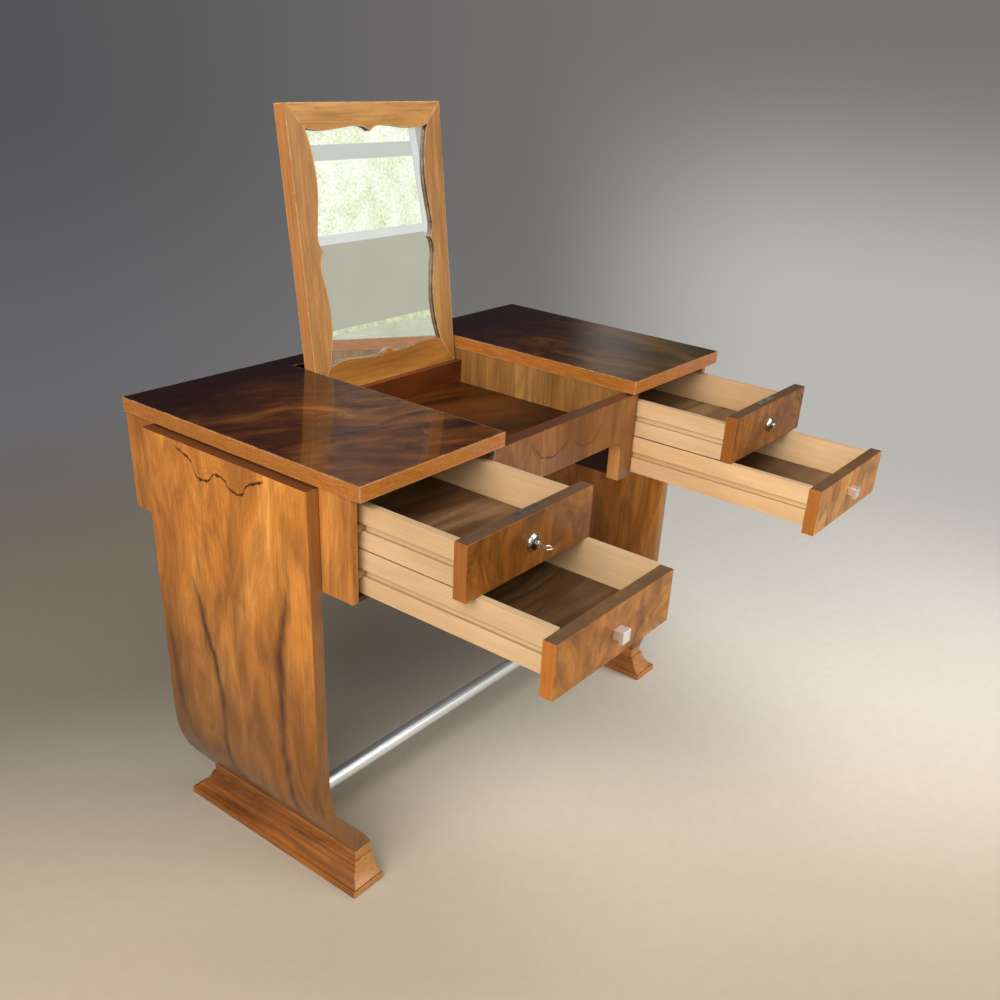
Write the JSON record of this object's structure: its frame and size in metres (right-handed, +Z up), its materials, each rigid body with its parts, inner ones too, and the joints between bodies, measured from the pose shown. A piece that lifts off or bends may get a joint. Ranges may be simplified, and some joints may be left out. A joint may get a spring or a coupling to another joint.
{
  "type": "vanity table with mirror",
  "caption": "Two-pedestal vanity table on plank legs, with side drawers and a tip-up centre lid that shows a framed mirror over a storage well.",
  "frame": {"origin": "floor, under the middle of the outline with the drawers drawn out as modelled", "axes": "+Z up, -Y towards the sitter, +X to the right-hand pedestal as seen by the sitter"},
  "size_m": [1.042, 0.9018, 1.1826],
  "materials": {
    "polished_walnut": "dark walnut veneer under a high French polish",
    "walnut": "golden walnut veneer, polished",
    "walnut_brown": "brown walnut veneer, satin",
    "walnut_pale": "honey walnut, satin",
    "maple": "plain pale drawer wood, waxed",
    "steel": "brushed",
    "chrome": "bright plating",
    "mirror": "silvered glass"
  },
  "bodies": {
    "table": {"apron": "walnut_brown", "case_back": "walnut_brown", "case_bottom_left": "walnut_brown", "case_bottom_right": "walnut_brown", "case_side_left": "walnut", "case_side_right": "walnut", "foot_left": "walnut", "foot_right": "walnut", "leg_left": "walnut", "leg_right": "walnut", "mirror_stop": "walnut_brown", "runner_lower_left_inner": "maple", "runner_lower_left_outer": "maple", "runner_lower_right_inner": "maple", "runner_lower_right_outer": "maple", "runner_upper_left_inner": "maple", "runner_upper_left_outer": "maple", "runner_upper_right_inner": "maple", "runner_upper_right_outer": "maple", "stretcher_tube": "steel", "top_panel": "polished_walnut", "well_floor": "walnut_brown", "well_side_left": "walnut_pale", "well_side_right": "walnut_pale"},
    "drawer_upper_left": {"drawer_upper_left_back": "maple", "drawer_upper_left_bottom": "walnut_brown", "drawer_upper_left_front": "walnut", "drawer_upper_left_inner_side": "maple", "drawer_upper_left_outer_side": "maple", "escutcheon_left": "chrome", "lock_left": "steel"},
    "drawer_lower_left": {"drawer_lower_left_back": "maple", "drawer_lower_left_bottom": "walnut_brown", "drawer_lower_left_front": "walnut", "drawer_lower_left_inner_side": "maple", "drawer_lower_left_outer_side": "maple", "knob_left": "chrome"},
    "drawer_upper_right": {"drawer_upper_right_back": "maple", "drawer_upper_right_bottom": "walnut_brown", "drawer_upper_right_front": "walnut", "drawer_upper_right_inner_side": "maple", "drawer_upper_right_outer_side": "maple", "escutcheon_right": "chrome", "lock_right": "steel"},
    "drawer_lower_right": {"drawer_lower_right_back": "maple", "drawer_lower_right_bottom": "walnut_brown", "drawer_lower_right_front": "walnut", "drawer_lower_right_inner_side": "maple", "drawer_lower_right_outer_side": "maple", "knob_right": "chrome"},
    "mirror_lid": {"lid_panel": "polished_walnut", "lid_rail_bottom": "walnut_pale", "lid_rail_top": "walnut_pale", "lid_stile_left": "walnut_pale", "lid_stile_right": "walnut_pale", "mirror_glass": "mirror", "pivot_pin_left": "steel", "pivot_pin_right": "steel"},
    "key_body": {"key": "chrome"},
    "bolt_body": {"lock_bolt": "steel"}
  },
  "joints": [
    {"name": "slide_drawer_upper_left", "type": "slide", "parent": "table", "child": "drawer_upper_left", "axis": [0, -1, 0], "range_m": [-0.18, 0.19]},
    {"name": "slide_drawer_lower_left", "type": "slide", "parent": "table", "child": "drawer_lower_left", "axis": [0, -1, 0], "range_m": [-0.324, 0.046]},
    {"name": "slide_drawer_upper_right", "type": "slide", "parent": "table", "child": "drawer_upper_right", "axis": [0, -1, 0], "range_m": [-0.193, 0.177]},
    {"name": "slide_drawer_lower_right", "type": "slide", "parent": "table", "child": "drawer_lower_right", "axis": [0, -1, 0], "range_m": [-0.363, 0.007]},
    {"name": "mirror_lid_hinge", "type": "hinge", "parent": "table", "child": "mirror_lid", "pos_m": [0, 0.3654, 0.749], "axis": [1, 0, 0], "range_deg": [0, 96.56]},
    {"name": "key_turn", "type": "hinge", "parent": "drawer_upper_left", "child": "key_body", "pos_m": [-0.3545, -0.2519, 0.6925], "axis": [0, 1, 0], "range_deg": [0, 180]},
    {"name": "lock_bolt_slide", "type": "slide", "parent": "drawer_upper_left", "child": "bolt_body", "axis": [0, 0, 1], "range_m": [0, 0.008]}
  ],
  "couplings": [
    {"joint": "key_turn", "follows": "lock_bolt_slide", "rad_per_m": 392.69}
  ]
}
